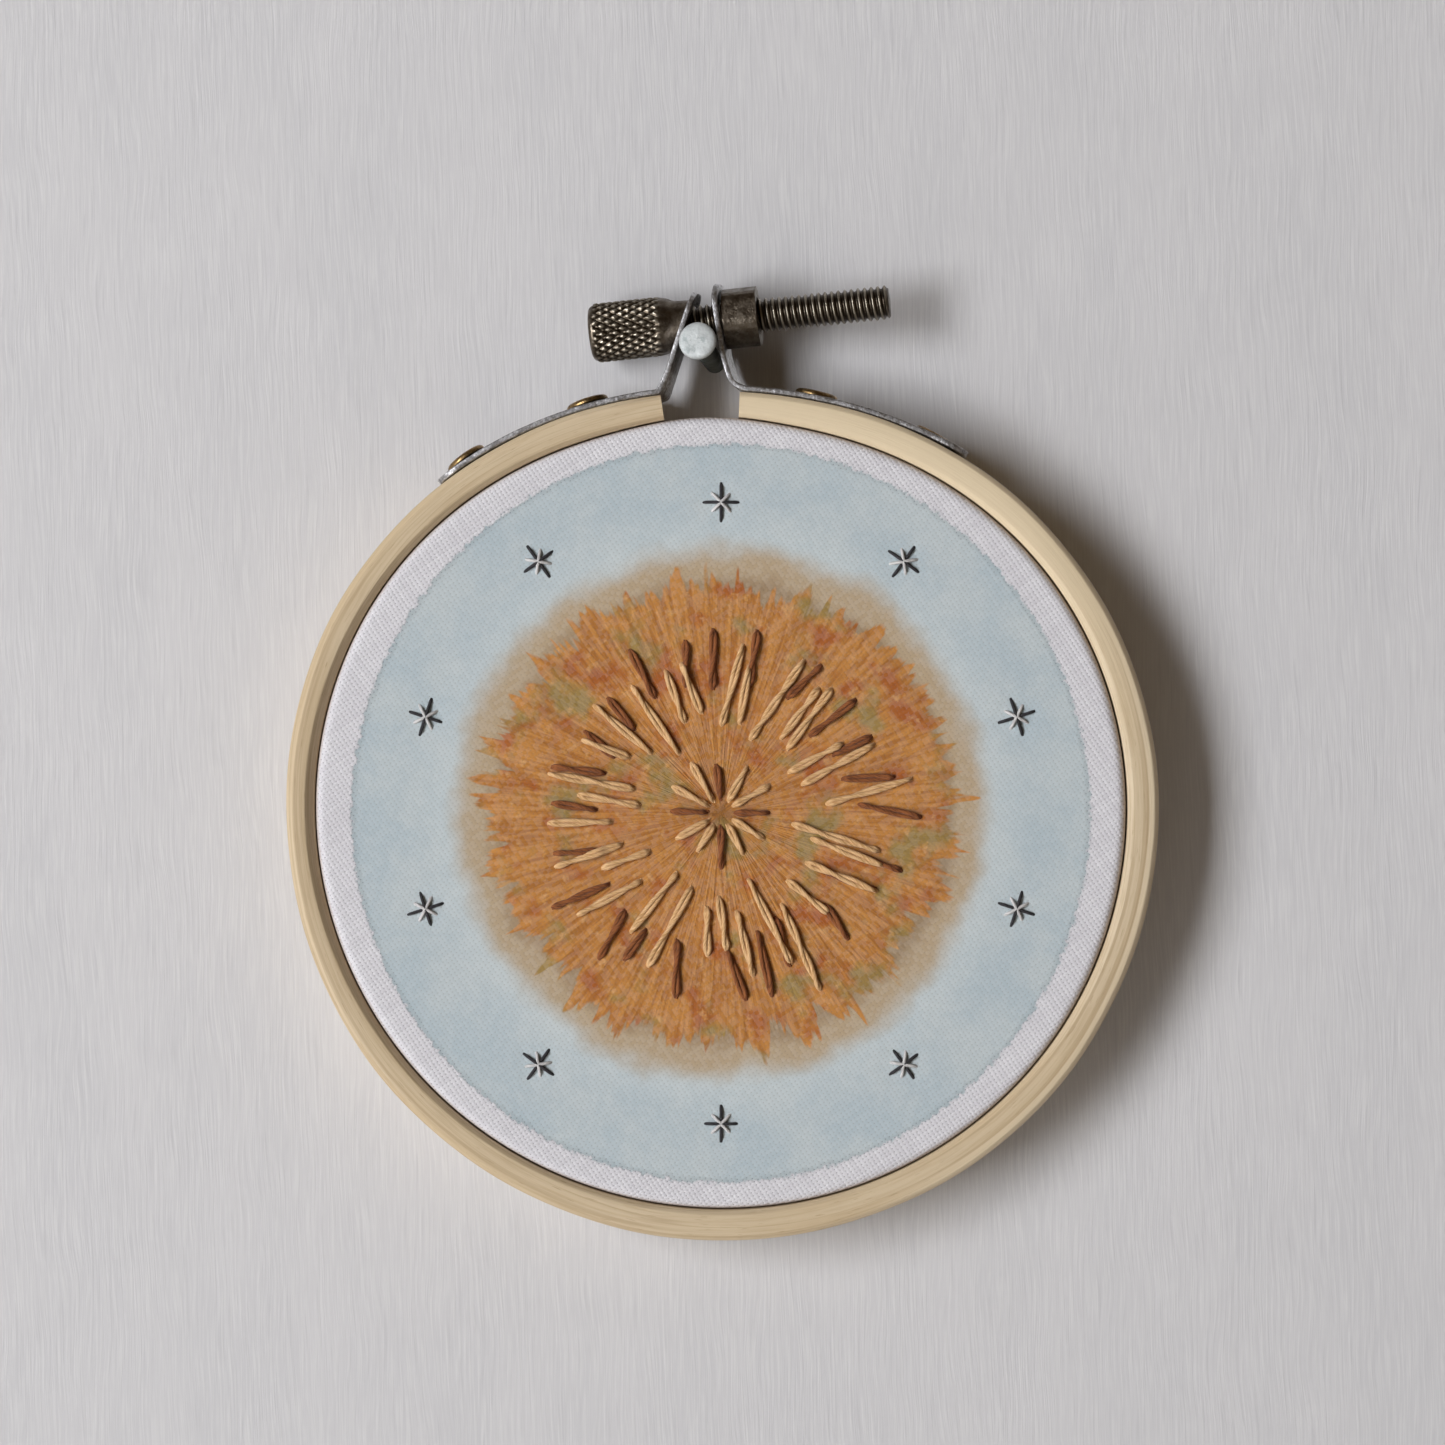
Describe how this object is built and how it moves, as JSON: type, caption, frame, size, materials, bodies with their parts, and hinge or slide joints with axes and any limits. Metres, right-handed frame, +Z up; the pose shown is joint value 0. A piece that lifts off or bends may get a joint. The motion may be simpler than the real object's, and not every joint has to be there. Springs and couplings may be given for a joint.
{
  "type": "hoop embroidery art with its wooden screw hoop and nail",
  "caption": "Small round painted and stitched cloth, drum-tight in a bent wooden embroidery hoop that a knurled thumbscrew and nut hold closed, hung on a nail.",
  "frame": {"origin": "centre of the nail's flush-cut end, where it meets the wall", "axes": "+X to the viewer's right along the front of the hoop, +Y into the wall, +Z up"},
  "size_m": [0.0831, 0.0103, 0.0912],
  "materials": {
    "hoop_wood": "fine straight grain, bare and satin",
    "cloth": "plain weave, matt, painted and stitched",
    "steel": "dull grey with bright worn edges",
    "brass": "tarnished, satin",
    "antique_brass": "dark antique, knurled, satin",
    "zinc": "zinc-plated, matt white-grey"
  },
  "bodies": {
    "hoop": {"outer_ring": "hoop_wood", "inner_ring": "hoop_wood", "cloth": "cloth", "bracket_left": "steel", "bracket_right": "steel", "eyelet_left_outer": "brass", "eyelet_left_inner": "brass", "eyelet_right_inner": "brass", "eyelet_right_outer": "brass", "nail": "zinc"},
    "thumbscrew": {"thumbscrew": "antique_brass"},
    "nut": {"nut": "antique_brass"}
  },
  "joints": [
    {"name": "screw_turn", "type": "hinge", "parent": "hoop", "child": "thumbscrew", "pos_m": [-0.00135, -0.0043, 0.00357], "axis": [-0.9898, 0.104, -0.0971], "range_deg": [0, 6480]},
    {"name": "nut_travel", "type": "slide", "parent": "hoop", "child": "nut", "axis": [0.9898, -0.104, 0.0971], "range_m": [0, 0.01142]}
  ],
  "couplings": [
    {"joint": "screw_turn", "follows": "nut_travel", "rad_per_m": 9894.8}
  ]
}
